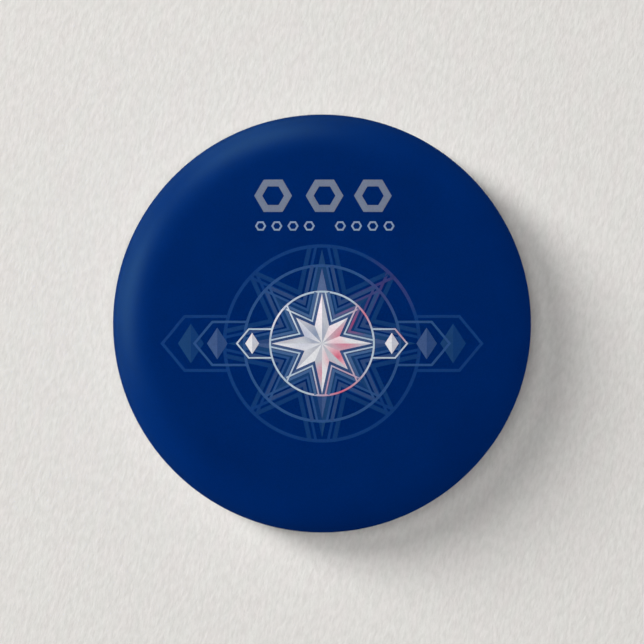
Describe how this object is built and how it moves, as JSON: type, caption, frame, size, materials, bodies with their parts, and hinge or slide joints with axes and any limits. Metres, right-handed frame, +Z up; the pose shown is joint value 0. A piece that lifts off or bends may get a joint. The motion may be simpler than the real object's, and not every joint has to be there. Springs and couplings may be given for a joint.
{
  "type": "button badge",
  "caption": "Round domed button badge: printed disc under clear film on a tinplate shell, with a riveted brooch pin on its back.",
  "frame": {"origin": "centre of the flat ring on the badge's back, in the plane where cloth lies against it", "axes": "+Y out of the back, towards the wearer's cloth, so the printed face looks along -Y; +Z up as worn; +X to the right of the printed face"},
  "size_m": [0.032, 0.0087, 0.032],
  "materials": {
    "clear_film": "clear satin film",
    "printed_paper": "deep navy print with pale grey and silver artwork",
    "tinplate": "bright tinplate with fine rolling lines",
    "nickel_plate": "bright nickel plate over stamped steel",
    "needle_steel": "polished hardened steel wire"
  },
  "bodies": {
    "badge": {"clear_film": "clear_film", "artwork_disc": "printed_paper", "front_shell": "tinplate", "back_plate": "tinplate", "pin_bar": "nickel_plate", "bar_rivet_left": "nickel_plate", "bar_rivet_right": "nickel_plate", "hinge_rivet": "nickel_plate"},
    "needle": {"pin_needle": "needle_steel"},
    "catch": {"catch_roller": "nickel_plate"}
  },
  "joints": [
    {"name": "needle_swing", "type": "hinge", "parent": "badge", "child": "needle", "pos_m": [-0.008, 0.00145, 0.003], "axis": [0, 0, 1], "range_deg": [0, 95]},
    {"name": "catch_turn", "type": "hinge", "parent": "badge", "child": "catch", "pos_m": [0.008, 0.00145, 0.003], "axis": [1, 0, 0], "range_deg": [0, 110]}
  ]
}
